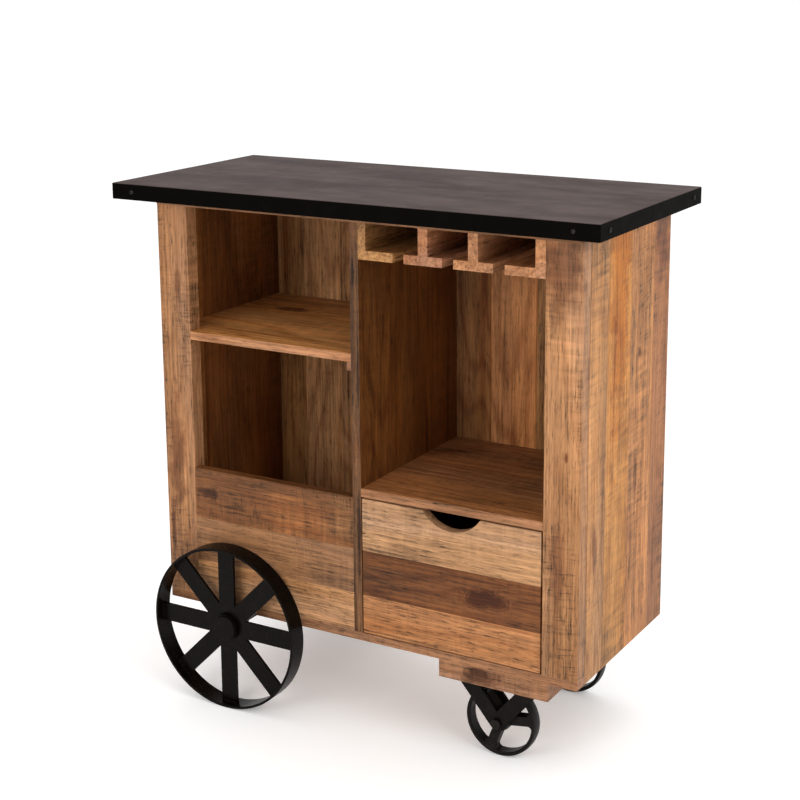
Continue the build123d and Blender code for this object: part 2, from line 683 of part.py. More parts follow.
axle_ends = []
axle_nuts = []
axle_washers = []
axle_collars = []
for end_name, (outside, outward) in wheel_outsides.items():
    hoop_y = wheel_span(outside, outward, 0, HOOP_WIDTH)
    with BuildPart() as hoop:
        add(round_bar(wheel_x, WHEEL_RADIUS, *hoop_y, WHEEL_RADIUS, hoop_inner))
        chamfer(hoop.edges().filter_by(GeomType.CIRCLE), HOOP_CHAMFER)
    save(f"big_wheel_{end_name}_hoop", hoop.part)

    spoke_y = wheel_span(outside, outward, spoke_outer, spoke_outer + SPOKE_THICKNESS)
    miter = SPOKE_WIDTH / 2 / math.tan(math.pi / SPOKES)
    spokes = []
    for number in range(SPOKES):
        turn = 360.0 / SPOKES * number
        with BuildPart() as spoke:
            with BuildSketch(upright(wheel_x, spoke_y[0], WHEEL_RADIUS, turn)):
                with BuildLine():
                    Polyline(
                        (0, 0),
                        (miter, -SPOKE_WIDTH / 2),
                        (WHEEL_RADIUS, -SPOKE_WIDTH / 2),
                        (WHEEL_RADIUS, SPOKE_WIDTH / 2),
                        (miter, SPOKE_WIDTH / 2),
                        close=True,
                    )
                make_face()
                Circle(hoop_inner, mode=Mode.INTERSECT)
                Circle(HUB_RADIUS, mode=Mode.SUBTRACT)
            extrude(amount=spoke_y[0] - spoke_y[1])
        spokes.append(spoke.part)
    save(f"big_wheel_{end_name}_spokes", *spokes)

    hub_y = wheel_span(outside, outward, hub_outer, hub_inner)
    pocket_y = wheel_span(outside, outward, hub_outer, hub_outer + NUT_POCKET)
    with BuildPart() as hub:
        bore = AXLE_RADIUS + RUNNING_CLEARANCE
        add(round_bar(wheel_x, WHEEL_RADIUS, *hub_y, HUB_RADIUS, bore))
        pocket = round_bar(wheel_x, WHEEL_RADIUS, *pocket_y, WASHER_RADIUS + NUT_POCKET_GAP)
        add(pocket, mode=Mode.SUBTRACT)
    save(f"big_wheel_{end_name}_hub", hub.part)

    cap_y = wheel_span(outside, outward, hub_outer - CAP_THICKNESS, hub_outer)
    with BuildPart() as cap:
        add(round_bar(wheel_x, WHEEL_RADIUS, *cap_y, HUB_RADIUS - CAP_INSET))
        cap_faces = cap.faces().filter_by(Axis.Y).sort_by(Axis.Y)
        outer_face = cap_faces[0] if outward < 0 else cap_faces[-1]
        fillet(outer_face.edges(), CAP_ROUND)
    save(f"big_wheel_{end_name}_cap", cap.part)

    seat = hub_outer + NUT_POCKET - 2 * HOLE_CLEARANCE
    stub_hole = AXLE_STUB_RADIUS + HOLE_CLEARANCE
    washer_y = wheel_span(outside, outward, seat - WASHER, seat)
    axle_washers.append(round_bar(wheel_x, WHEEL_RADIUS, *washer_y, WASHER_RADIUS, stub_hole))
    nut_y = wheel_span(outside, outward, seat - WASHER - NUT_HEIGHT, seat - WASHER)
    with BuildPart() as axle_nut:
        add(hexagon_piece(wheel_x, WHEEL_RADIUS, *nut_y, NUT_AF))
        add(round_bar(wheel_x, WHEEL_RADIUS, *nut_y, stub_hole), mode=Mode.SUBTRACT)
    axle_nuts.append(axle_nut.part)
    collar_depth = hub_inner + RUNNING_GAP
    collar_y = wheel_span(outside, outward, collar_depth, collar_depth + COLLAR)
    collar_bore = AXLE_RADIUS + HOLE_CLEARANCE
    axle_collars.append(round_bar(wheel_x, WHEEL_RADIUS, *collar_y, COLLAR_RADIUS, collar_bore))
    axle_ends.append((outside - outward * seat, outside - outward * (seat - AXLE_STUB)))
save("axle_nuts_and_washers", *axle_nuts, *axle_washers)
save("axle_collars", *axle_collars)

(front_seat, front_tip), (back_seat, back_tip) = axle_ends
with BuildPart() as big_axle:
    add(round_bar(wheel_x, WHEEL_RADIUS, front_seat, back_seat, AXLE_RADIUS))
    add(round_bar(wheel_x, WHEEL_RADIUS, front_tip, back_tip, AXLE_STUB_RADIUS))
save("big_axle", big_axle.part)

hangers = []
hanger_half = HANGER_WIDTH / 2
for y, inward in zip(hanger_ys, (1, -1)):
    plate_y = tuple(sorted((y, y + inward * HANGER_PLATE)))
    foot_y = tuple(sorted((y, y + inward * HANGER_FOOT)))
    hanger_x = (wheel_x - hanger_half, wheel_x + hanger_half)
    with BuildPart() as hanger:
        add(board(hanger_x, plate_y, (WHEEL_RADIUS, underside)))
        add(round_bar(wheel_x, WHEEL_RADIUS, *plate_y, hanger_half))
        add(board(hanger_x, foot_y, (underside - HANGER_PLATE, underside)))
        axle_hole = round_bar(wheel_x, WHEEL_RADIUS, *plate_y, AXLE_RADIUS + HOLE_CLEARANCE)
        add(axle_hole, mode=Mode.SUBTRACT)
        with BuildSketch(Plane.XY.offset(underside - HANGER_PLATE)):
            with Locations(foot_screw_places):
                Circle(plate_hole)
        extrude(amount=HANGER_PLATE, mode=Mode.SUBTRACT)
    hangers.append(hanger.part)
save("axle_hangers", *hangers)

hanger_screws = [
    placed_screw(
        Plane((x, y, underside - HANGER_PLATE), (1, 0, 0), (0, 0, -1)),
        PLATE_SCREW_RADIUS, PLATE_SCREW_HEAD_RADIUS, PLATE_SCREW_HEAD, foot_screw_length,
    )
    for x, y in foot_screw_places
]
save("hanger_screws", *hanger_screws)
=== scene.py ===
import bmesh
import bpy
import math

from mathutils import Matrix, Vector


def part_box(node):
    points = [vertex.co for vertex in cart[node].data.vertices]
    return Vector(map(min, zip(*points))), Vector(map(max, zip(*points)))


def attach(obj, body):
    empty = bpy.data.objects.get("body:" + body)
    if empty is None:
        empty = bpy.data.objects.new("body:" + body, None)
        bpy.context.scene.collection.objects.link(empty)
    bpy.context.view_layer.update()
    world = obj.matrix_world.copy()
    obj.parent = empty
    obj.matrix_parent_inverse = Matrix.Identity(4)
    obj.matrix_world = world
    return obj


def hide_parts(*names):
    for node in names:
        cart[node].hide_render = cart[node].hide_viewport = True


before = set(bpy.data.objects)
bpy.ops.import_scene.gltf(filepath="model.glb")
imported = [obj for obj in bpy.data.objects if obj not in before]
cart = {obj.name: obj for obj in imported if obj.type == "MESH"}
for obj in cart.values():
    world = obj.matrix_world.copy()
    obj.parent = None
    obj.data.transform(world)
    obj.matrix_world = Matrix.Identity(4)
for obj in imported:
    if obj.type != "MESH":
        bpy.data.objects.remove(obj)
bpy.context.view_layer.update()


# ---- Side planks
# Each side of the cabinet is a row of upright solid mango boards, 18 mm thick, glued edge to edge
# with a fine groove left at each seam. The boards come from different logs, so no two match.
def lay(tree, kind, *values, out=0, **settings):
    """Adds a shader node, feeds its inputs in order with links or plain values, and gives one output."""
    node = tree.nodes.new("ShaderNode" + kind)
    for key, value in settings.items():
        setattr(node, key, value)
    for place, value in enumerate(values):
        if isinstance(value, bpy.types.NodeSocket):
            tree.links.new(value, node.inputs[place])
        elif value is not None:
            node.inputs[place].default_value = value
    return node.outputs[out]


def sums(tree, operation, first, second=0.0, third=0.0, clamp=False):
    return lay(tree, "Math", first, second, third, operation=operation, use_clamp=clamp)


def grained_noise(tree, vector, stretch, detail=2.0, rough=0.5, swirl=0.0):
    """Noise stretched by a different amount along each axis."""
    scaled = lay(tree, "VectorMath", vector, stretch, operation="MULTIPLY")
    return lay(tree, "TexNoise", scaled, None, 1.0, detail, rough, 2.0, 0.0, 1.0, swirl)


def ease(tree, value, low, high, to_low=0.0, to_high=1.0):
    return lay(
        tree, "MapRange", value, low, high, to_low, to_high, interpolation_type="SMOOTHSTEP"
    )


def tint(tree, factor, first, second, blend="MIX"):
    """Mixes two colours; with MULTIPLY the second is a stain over the first."""
    node = tree.nodes.new("ShaderNodeMix")
    node.data_type = "RGBA"
    node.blend_type = blend
    for place, value in ((0, factor), (6, first), (7, second)):
        if isinstance(value, bpy.types.NodeSocket):
            tree.links.new(value, node.inputs[place])
        else:
            node.inputs[place].default_value = value if place == 0 else (*value, 1.0)[:4]
    return node.outputs[2]


mango = bpy.data.node_groups.new("mango wood", "ShaderNodeTree")
for socket_name, socket_kind in (
    ("Grain", "NodeSocketVector"), ("Tone", "NodeSocketColor"), ("Late Wood", "NodeSocketColor"),
    ("Rings", "NodeSocketFloat"), ("Figure", "NodeSocketFloat"), ("Curl", "NodeSocketFloat"),
    ("Streaks", "NodeSocketFloat"), ("Knot", "NodeSocketFloat"),
):
    mango.interface.new_socket(socket_name, in_out="INPUT", socket_type=socket_kind)
for socket_name, socket_kind in (
    ("Color", "NodeSocketColor"), ("Roughness", "NodeSocketFloat"), ("Height", "NodeSocketFloat"),
):
    mango.interface.new_socket(socket_name, in_out="OUTPUT", socket_type=socket_kind)
mango_in = mango.nodes.new("NodeGroupInput").outputs
mango_out = mango.nodes.new("NodeGroupOutput").inputs
along = mango_in["Grain"]
# The growth rings: level lines of a smooth field that is long in the grain, drawn tight by a knot.
broad = grained_noise(mango, along, (1.0, 7.0, 7.0), 2.0, 0.4, 0.15)
wander = grained_noise(mango, along, (5.0, 34.0, 34.0), 2.0, 0.55)
tightness = sums(mango, "MULTIPLY", mango_in["Rings"], 1.5)
phase = sums(mango, "MULTIPLY_ADD", broad, tightness, mango_in["Knot"])
phase = sums(mango, "MULTIPLY_ADD", wander, 0.55, phase)
rings = sums(mango, "SINE", sums(mango, "MULTIPLY", phase, 2.0 * math.pi))
rings = sums(mango, "POWER", sums(mango, "MULTIPLY_ADD", rings, 0.5, 0.5), 3.2)
# Fibres in two widths, and broad clouds of lighter, warmer and mineral stained wood.
fibre = grained_noise(mango, along, (6.0, 380.0, 380.0), 3.0, 0.6)
hair = grained_noise(mango, along, (7.0, 190.0, 190.0), 5.0, 0.72, 0.4)
cloud = grained_noise(mango, along, (1.8, 5.5, 5.5), 3.0, 0.5)
warmth = grained_noise(mango, along, (1.1, 11.0, 11.0), 2.0, 0.5, 0.4)
mineral = ease(mango, grained_noise(mango, along, (0.9, 22.0, 22.0), 3.0, 0.6), 0.56, 0.74)
# Curl: a broad ripple across the grain, which comes and goes along the board.
ripple = grained_noise(mango, along, (78.0, 9.0, 9.0), 2.0, 0.5, 0.7)
ripple = sums(mango, "SUBTRACT", ripple, 0.5)
ripple_place = ease(mango, grained_noise(mango, along, (3.2, 8.0, 8.0), 1.0), 0.40, 0.60)
ripple = sums(mango, "MULTIPLY", ripple, ripple_place)
# Colour: the board's own tone, darker in the rings, streaks and knots, then warmer and cooler.
dark = sums(mango, "MULTIPLY", rings, sums(mango, "MULTIPLY", mango_in["Figure"], 1.05))
dark = sums(mango, "MULTIPLY_ADD", mineral, sums(mango, "MULTIPLY", mango_in["Streaks"], 1.7), dark)
dark = sums(mango, "MULTIPLY_ADD", mango_in["Knot"], 0.35, dark, clamp=True)
board_color = tint(mango, dark, (1.0, 1.0, 1.0), mango_in["Late Wood"])
board_color = tint(mango, 1.0, mango_in["Tone"], board_color, "MULTIPLY")
warm = ease(mango, warmth, 0.36, 0.64)
cast = tint(mango, warm, (0.97, 1.0, 1.08), (1.04, 0.98, 0.86))
board_color = tint(mango, 1.0, board_color, cast, "MULTIPLY")
# Lightness: clouds, fibres, curl, open pores, short flecks and the saw's slanting chatter marks.
light = sums(mango, "MULTIPLY_ADD", sums(mango, "SUBTRACT", cloud, 0.5), 1.9, 1.0)
light = sums(mango, "MULTIPLY_ADD", sums(mango, "SUBTRACT", fibre, 0.5), 1.1, light)
light = sums(mango, "MULTIPLY_ADD", sums(mango, "SUBTRACT", hair, 0.5), 2.0, light)
light = sums(mango, "MULTIPLY_ADD", sums(mango, "MULTIPLY", ripple, 2.4), mango_in["Curl"], light)
pores = ease(mango, grained_noise(mango, along, (42.0, 900.0, 900.0), 1.0, 0.5), 0.60, 0.74)
light = sums(mango, "MULTIPLY_ADD", pores, -0.57, light)
flecks = ease(mango, grained_noise(mango, along, (38.0, 250.0, 250.0), 3.0, 0.65, 0.6), 0.52, 0.68)
light = sums(mango, "MULTIPLY_ADD", flecks, -0.4, light)
slanted = lay(mango, "Mapping", along, None, (0.0, 0.10, 0.13))
chatter = ease(mango, grained_noise(mango, slanted, (290.0, 34.0, 34.0), 2.0, 0.55, 0.5), 0.52, 0.68)
chatter_place = ease(mango, grained_noise(mango, along, (5.0, 14.0, 14.0), 2.0), 0.42, 0.62)
chatter = sums(mango, "MULTIPLY", chatter, chatter_place)
light = sums(mango, "MULTIPLY_ADD", sums(mango, "MULTIPLY", chatter, -0.6), mango_in["Curl"], light)
light = lay(mango, "CombineXYZ", light, light, light)
board_color = tint(mango, 1.0, board_color, light, "MULTIPLY")
mango.links.new(board_color, mango_out["Color"])
board_rough = sums(mango, "MULTIPLY_ADD", fibre, 0.22, 0.38)
board_rough = sums(mango, "MULTIPLY_ADD", dark, 0.08, board_rough)
mango.links.new(board_rough, mango_out["Roughness"])
height = sums(mango, "MULTIPLY_ADD", fibre, 0.5, 0.0)
height = sums(mango, "MULTIPLY_ADD", pores, -0.6, height)
height = sums(mango, "MULTIPLY_ADD", sums(mango, "MULTIPLY", ripple, 1.2), mango_in["Curl"], height)
height = sums(mango, "MULTIPLY_ADD", rings, -0.12, height)
mango.links.new(height, mango_out["Height"])


def edges_of(places, axis, low, high):
    """Where each board of a glued-up row ends, as shares of the row's width."""
    return [(place - low) / (high - low) for place in places]


def board_ramp(tree, value, ends, colors):
    """One flat colour for each board of a row."""
    node = tree.nodes.new("ShaderNodeValToRGB")
    node.color_ramp.interpolation = "CONSTANT"
    stops = node.color_ramp.elements
    stops[0].position = 0.0
    stops[0].color = (*colors[0], 1.0)
    stops[1].position = ends[0]
    stops[1].color = (*colors[1], 1.0)
    for end, color in zip(ends[1:], colors[2:]):
        stops.new(end).color = (*color, 1.0)
    tree.links.new(value, node.inputs[0])
    return node.outputs[0]


def wood(
    name, members, grain, tone, late=(0.50, 0.37, 0.27), rings=11.0, figure=0.45, curl=0.25,
    streaks=0.35, seed=0.0, row=None, faces=(), spots=(),
):
    """A mango finish for the named pieces. grain is the axis the fibres run along. row is
    (axis, ends, one tone a board) for a glued-up row. faces is (axis, limit, above, stain_and_shade)
    for a face toned apart from the rest: painted shade on faces inside the bays, painted light and
    shade between a shelf's top and front edge, and weathering on the divider's front edge. spots is
    (centre, reach, stain_and_shade, knot) in metres."""
    material = bpy.data.materials.new(name)
    material.use_nodes = True
    tree = material.node_tree
    shader = tree.nodes["Principled BSDF"]
    here = lay(tree, "TexCoord", out=3)
    split = tree.nodes.new("ShaderNodeSeparateXYZ")
    tree.links.new(here, split.inputs[0])
    turned = lay(tree, "VectorMath", here, (seed * 1.37, seed * 0.71, seed * 2.13), operation="ADD")
    color = lay(tree, "RGB")
    color.default_value = (*tone, 1.0)
    if row:
        axis, ends, tones = row
        low = min(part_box(member)[0]["xyz".index(axis)] for member in members)
        high = max(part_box(member)[1]["xyz".index(axis)] for member in members)
        place = lay(tree, "MapRange", split.outputs["xyz".index(axis)], low, high, 0.0, 1.0)
        shares = edges_of(ends, axis, low, high)
        color = board_ramp(tree, place, shares, tones)
        shuffle = [
            (0.13 * (3 * n % 7), 0.17 * (5 * n % 6), 0.19 * (4 * n % 5)) for n in range(len(tones))
        ]
        shift = board_ramp(tree, place, shares, shuffle)
        shift = lay(tree, "VectorMath", shift, (9.0, 7.0, 5.0), operation="MULTIPLY")
        turned = lay(tree, "VectorMath", turned, shift, operation="ADD")
    turns = {"x": (0.0, 0.0, 0.0), "y": (0.0, 0.0, -math.pi / 2), "z": (0.0, math.pi / 2, 0.0)}
    turned = lay(tree, "Mapping", turned, None, turns[grain])
    knot = None
    for centre, reach, stain_and_shade, strength in spots:
        offset = lay(tree, "VectorMath", here, centre, operation="SUBTRACT")
        offset = lay(tree, "VectorMath", offset, reach, operation="DIVIDE")
        away = lay(tree, "VectorMath", offset, operation="LENGTH", out=1)
        rough_edge = lay(tree, "TexNoise", here, None, 26.0, 3.0, 0.6)
        away = sums(tree, "MULTIPLY_ADD", sums(tree, "SUBTRACT", rough_edge, 0.5), 1.5, away)
        inside = ease(tree, away, 0.25, 1.0, 1.0, 0.0)
        color = tint(tree, inside, color, tint(tree, 1.0, color, stain_and_shade, "MULTIPLY"))
        if strength:
            knot = sums(tree, "MULTIPLY_ADD", inside, strength, 0.0 if knot is None else knot)
    # Each entry tones one face apart: painted shade on faces inside the bays, painted light and shade
    # between a shelf's top and front edge, and weathering on the divider's front edge.
    for axis, limit, above, stain_and_shade in faces:
        side = "GREATER_THAN" if above else "LESS_THAN"
        there = sums(tree, side, split.outputs["xyz".index(axis)], limit)
        color = tint(tree, there, color, tint(tree, 1.0, color, stain_and_shade, "MULTIPLY"))
    group = tree.nodes.new("ShaderNodeGroup")
    group.node_tree = mango
    tree.links.new(turned, group.inputs["Grain"])
    tree.links.new(color, group.inputs["Tone"])
    group.inputs["Late Wood"].default_value = (*late, 1.0)
    for socket, value in (("Rings", rings), ("Figure", figure), ("Curl", curl), ("Streaks", streaks)):
        group.inputs[socket].default_value = value
    if knot is not None:
        tree.links.new(knot, group.inputs["Knot"])
    tree.links.new(group.outputs["Color"], shader.inputs["Base Color"])
    tree.links.new(group.outputs["Roughness"], shader.inputs["Roughness"])
    relief = tree.nodes.new("ShaderNodeBump")
    relief.inputs["Strength"].default_value = 0.45
    relief.inputs["Distance"].default_value = 0.0007
    tree.links.new(group.outputs["Height"], relief.inputs["Height"])
    tree.links.new(relief.outputs[0], shader.inputs["Normal"])
    shader.inputs["Specular IOR Level"].default_value = 0.2
    for member in members:
        for material_slot in cart[member].material_slots:
            material_slot.material = material


side_seams = (-0.0708, 0.0192, 0.1132)
wood(
    "right_side_boards", ["side_planks_right"], "z", (0.5, 0.25, 0.12), rings=9.0, figure=0.30,
    curl=0.55, streaks=0.25, seed=1.0,
    row=(
        "y", side_seams,
        [(0.421, 0.199, 0.0709), (0.422, 0.184, 0.0439), (0.53, 0.219, 0.066), (0.335, 0.138, 0.0519)],
    ),
    # The inner face is darkened: painted shade inside the right bay.
    faces=[("x", 0.387, False, (0.30, 0.24, 0.20))],
    spots=[
        ((0.396, -0.025, 0.78), (0.05, 0.045, 0.32), (1.0, 0.84, 0.46), 1.2),
        # Darker near the top of the rearmost board.
        ((0.396, 0.15, 0.82), (0.05, 0.035, 0.09), (0.55, 0.45, 0.42), 0.0),
        ((0.396, 0.06, 0.66), (0.05, 0.012, 0.012), (0.55, 0.5, 0.45), 0.5),
        ((0.396, -0.11, 0.38), (0.05, 0.014, 0.05), (0.60, 0.52, 0.48), 0.3),
        ((0.396, 0.05, 0.46), (0.05, 0.010, 0.06), (0.66, 0.60, 0.56), 0.4),
    ],
)
wood(
    "left_side_boards", ["side_planks_left"], "z", (0.45, 0.22, 0.11), rings=10.0, figure=0.4,
    curl=0.3, streaks=0.4, seed=7.0,
    row=("y", side_seams, [(0.44, 0.22, 0.10), (0.38, 0.18, 0.09), (0.46, 0.22, 0.10), (0.36, 0.17, 0.09)]),
    # The inner face is darkened to a dark brown: painted shade inside the left bay.
    faces=[("x", -0.387, True, (0.538, 0.421, 0.252))],
)

# ---- Front posts
# Two flat mango posts stand at the front corners, 62 mm wide with their long edges eased. Their
# faces still show the ripple of the saw, and each lies over the end of the side planks behind it.
wood(
    "left_post_wood", ["front_post_left"], "z", (0.34, 0.164, 0.0745), rings=10.0, figure=0.3, curl=0.75,
    streaks=0.25, seed=3.0,
    spots=[
        ((-0.37, -0.166, 0.42), (0.022, 0.05, 0.16), (0.55, 0.48, 0.45), 0.3),
        ((-0.357, -0.166, 0.74), (0.010, 0.03, 0.05), (0.62, 0.55, 0.50), 0.2),
        ((-0.385, -0.166, 0.30), (0.006, 0.03, 0.09), (0.50, 0.42, 0.40), 0.3),
    ],
)
wood(
    "right_post_wood", ["front_post_right"], "z", (0.378, 0.185, 0.0827), rings=8.0, figure=0.25, curl=0.6,
    streaks=0.2, seed=4.6,
    spots=[
        ((0.36, -0.166, 0.84), (0.05, 0.03, 0.13), (0.42, 0.35, 0.31), 0.0),
        ((0.372, -0.166, 0.54), (0.004, 0.01, 0.012), (0.5, 0.35, 0.25), 0.4),
        ((0.36, -0.166, 0.36), (0.02, 0.02, 0.10), (0.70, 0.62, 0.60), 0.2),
    ],
)

# ---- Back boards
# Upright mango boards of mixed widths close the back, set in flush between the sides and nailed
# to the shelves. A dark groove shows at every seam, and the inner faces have aged unevenly.
wood(
    "back_board_wood", ["back_boards"], "z", (0.4, 0.2, 0.1), rings=12.0, figure=0.5, curl=0.12,
    streaks=0.5, seed=11.0,
    row=(
        "x", (-0.320, -0.242, -0.156, -0.078, 0.003, 0.073, 0.162, 0.244, 0.312),
        [
            (0.311, 0.149, 0.0527), (0.406, 0.198, 0.079), (0.344, 0.164, 0.0659), (0.467, 0.248, 0.105),
            (0.374, 0.181, 0.0659), (0.244, 0.104, 0.0345), (0.458, 0.192, 0.069), (0.352, 0.168, 0.0625),
            (0.391, 0.19, 0.0676), (0.44, 0.22, 0.11),
        ],
    ),
)

# ---- Bottom board and carcass top
# One wide board closes the bottom, and its front edge shows as a thin rail below the bins and the
# drawer. A second board closes the carcass under the metal top and can't be seen from the front.
wood(
    "bottom_board_wood", ["bottom_board"], "x", (0.318, 0.15, 0.074), rings=10.0, figure=0.4,
    curl=0.2, streaks=0.3, seed=13.0,
)
wood(
    "carcass_top_wood", ["carcass_top"], "x", (0.20, 0.10, 0.05), rings=10.0, figure=0.4, seed=15.0,
)

# ---- Centre divider
# A single board on edge parts the bottle bay from the glass bay. Its front edge is weathered to a
# dark grey brown, and its faces carry painted shade: their dark tone stands in for the shade
# inside the bays.
wood(
    "divider_wood", ["centre_divider"], "z", (0.162, 0.0574, 0.0131), rings=10.0, figure=0.5, curl=0.2,
    streaks=0.5, seed=17.0,
    faces=[("y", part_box("centre_divider")[0][1] + 0.0006, False, (0.918, 1.15, 1.95))],
    spots=[
        ((-0.005, -0.166, 0.80), (0.004, 0.001, 0.05), (0.35, 0.33, 0.32), 0.4),
        ((0.002, -0.166, 0.62), (0.003, 0.001, 0.09), (0.40, 0.38, 0.36), 0.3),
        ((-0.003, -0.166, 0.50), (0.004, 0.001, 0.07), (1.9, 1.9, 1.9), 0.0),
        ((0.001, -0.166, 0.36), (0.004, 0.001, 0.10), (0.42, 0.40, 0.38), 0.5),
        ((-0.001, -0.166, 0.21), (0.003, 0.001, 0.05), (1.7, 1.8, 1.8), 0.0),
    ],
)

# ---- Shelves and their cleats
# Each bay has one fixed mango shelf, 15 mm thick, on a pair of screwed cleats. The tops and the
# planed front edges are toned apart, as painted light and shade for how the light falls in the bays.
shelf_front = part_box("left_shelf")[0][1] + 0.0006
wood(
    "left_shelf_wood", ["left_shelf"], "x", (0.605, 0.272, 0.0855), rings=10.0, figure=0.5, curl=0.2,
    streaks=0.4, seed=19.0, faces=[("y", shelf_front, False, (0.644, 0.684, 1.05))],
    spots=[
        ((-0.06, -0.02, 0.658), (0.04, 0.03, 0.02), (0.4, 0.35, 0.3), 1.5),
        ((-0.27, 0.06, 0.658), (0.04, 0.02, 0.02), (0.4, 0.35, 0.3), 1.2),
    ],
)
wood(
    "right_shelf_wood", ["right_shelf"], "x", (0.375, 0.158, 0.0606), rings=10.0, figure=0.4, curl=0.2,
    streaks=0.3, seed=21.0, faces=[("y", shelf_front, False, (0.847, 0.961, 1.26))],
)
wood(
    "cleat_wood", ["left_shelf_cleats", "right_shelf_cleats"], "y", (0.22, 0.10, 0.05), rings=8.0,
    figure=0.3, seed=23.0,
)

# ---- Bin front
# Three boards, edge to edge, close the front of the low bin under the bottle bay. Two upright
# battens behind them hold the boards together.
wood(
    "bin_top_wood", ["bin_board_top"], "x", (0.193, 0.0716, 0.021), rings=9.0, figure=0.35, curl=0.7,
    streaks=0.3, seed=25.0,
    spots=[
        ((-0.30, -0.166, 0.372), (0.03, 0.02, 0.014), (0.42, 0.34, 0.3), 1.2),
        ((-0.13, -0.166, 0.36), (0.10, 0.03, 0.05), (1.5, 1.45, 1.35), 0.0),
        ((-0.03, -0.166, 0.36), (0.05, 0.03, 0.06), (1.25, 1.45, 1.7), 0.0),
    ],
)
wood(
    "bin_middle_wood", ["bin_board_middle"], "x", (0.29, 0.142, 0.0661), rings=13.0, figure=0.45,
    curl=0.3, streaks=0.55, seed=27.0, late=(0.45, 0.42, 0.42),
)
wood(
    "bin_low_wood", ["bin_board_low"], "x", (0.549, 0.28, 0.126), rings=8.0, figure=0.35, curl=0.2,
    streaks=0.25, seed=29.0,
)
wood("batten_wood", ["bin_battens"], "z", (0.3, 0.15, 0.07), rings=8.0, figure=0.3, seed=31.0)

# ---- Stem glass rack
# Four T-shaped wooden runners hang below the top, from front to back. The foot of a glass slides
# on two neighbouring flanges, and its stem hangs in the slot between them.
wood(
    "rack_left_wood", ["rack_runner_1"], "y", (0.42, 0.22, 0.09), rings=9.0, figure=0.4, streaks=0.5,
    seed=33.0,
)
wood("rack_second_wood", ["rack_runner_2"], "y", (0.40, 0.18, 0.09), rings=9.0, figure=0.4, seed=35.0)
wood("rack_third_wood", ["rack_runner_3"], "y", (0.44, 0.21, 0.10), rings=9.0, figure=0.35, seed=37.0)
wood(
    "rack_right_wood", ["rack_runner_4"], "y", (0.40, 0.19, 0.09), rings=10.0, figure=0.5, seed=39.0,
    spots=[((0.30, -0.15, 0.822), (0.012, 0.02, 0.007), (0.35, 0.22, 0.2), 0.8)],
)

# ---- Drawer
# The deep drawer's front is three matched boards with a half-moon finger cut in the top edge. Its
# box is plain mango, with a plywood bottom in a groove, and it slides on two hardwood runners.
wood(
    "drawer_top_wood", ["drawer_board_top"], "x", (0.374, 0.208, 0.108), rings=7.0, figure=0.15, curl=0.2,
    streaks=0.04, seed=41.0, spots=[((0.045, -0.166, 0.37), (0.10, 0.03, 0.06), (1.38, 1.42, 1.46), 0.3)],
)
wood(
    "drawer_middle_wood", ["drawer_board_middle"], "x", (0.168, 0.0561, 0.0142), rings=14.0, figure=0.5,
    curl=0.15, streaks=0.35, seed=43.0, late=(0.42, 0.30, 0.22),
    spots=[((0.235, -0.166, 0.285), (0.055, 0.02, 0.021), (0.72, 0.66, 0.62), 3.4)],
)
wood(
    "drawer_low_wood", ["drawer_board_low"], "x", (0.477, 0.198, 0.0693), rings=8.0, figure=0.4,
    curl=0.15, streaks=0.3, seed=45.0,
)
wood(
    "drawer_box_wood", ["drawer_back", "drawer_side_left", "drawer_side_right"], "y",
    (0.42, 0.22, 0.11), rings=9.0, figure=0.3, curl=0.2, seed=47.0,
)
wood(
    "runner_wood", ["drawer_runner_left", "drawer_runner_right", "drawer_guide", "drawer_stops"], "y",
    (0.34, 0.17, 0.08), rings=8.0, figure=0.3, seed=49.0,
)
wood(
    "drawer_plywood", ["drawer_bottom"], "y", (0.50, 0.34, 0.20), rings=16.0, figure=0.25, curl=0.1,
    streaks=0.1, seed=51.0,
)

# ---- Caster block
# A thick mango block under the right end brings the casters down to the height of the large
# wheels. A dark knot crosses its front face.
wood(
    "caster_block_wood", ["caster_block"], "x", (0.313, 0.151, 0.0763), rings=11.0, figure=0.4,
    curl=0.3, streaks=0.3, seed=53.0,
    spots=[
        ((0.225, -0.166, 0.150), (0.040, 0.03, 0.020), (0.42, 0.36, 0.34), 1.6),
        ((0.350, -0.166, 0.135), (0.030, 0.03, 0.008), (0.62, 0.55, 0.52), 0.5),
    ],
)

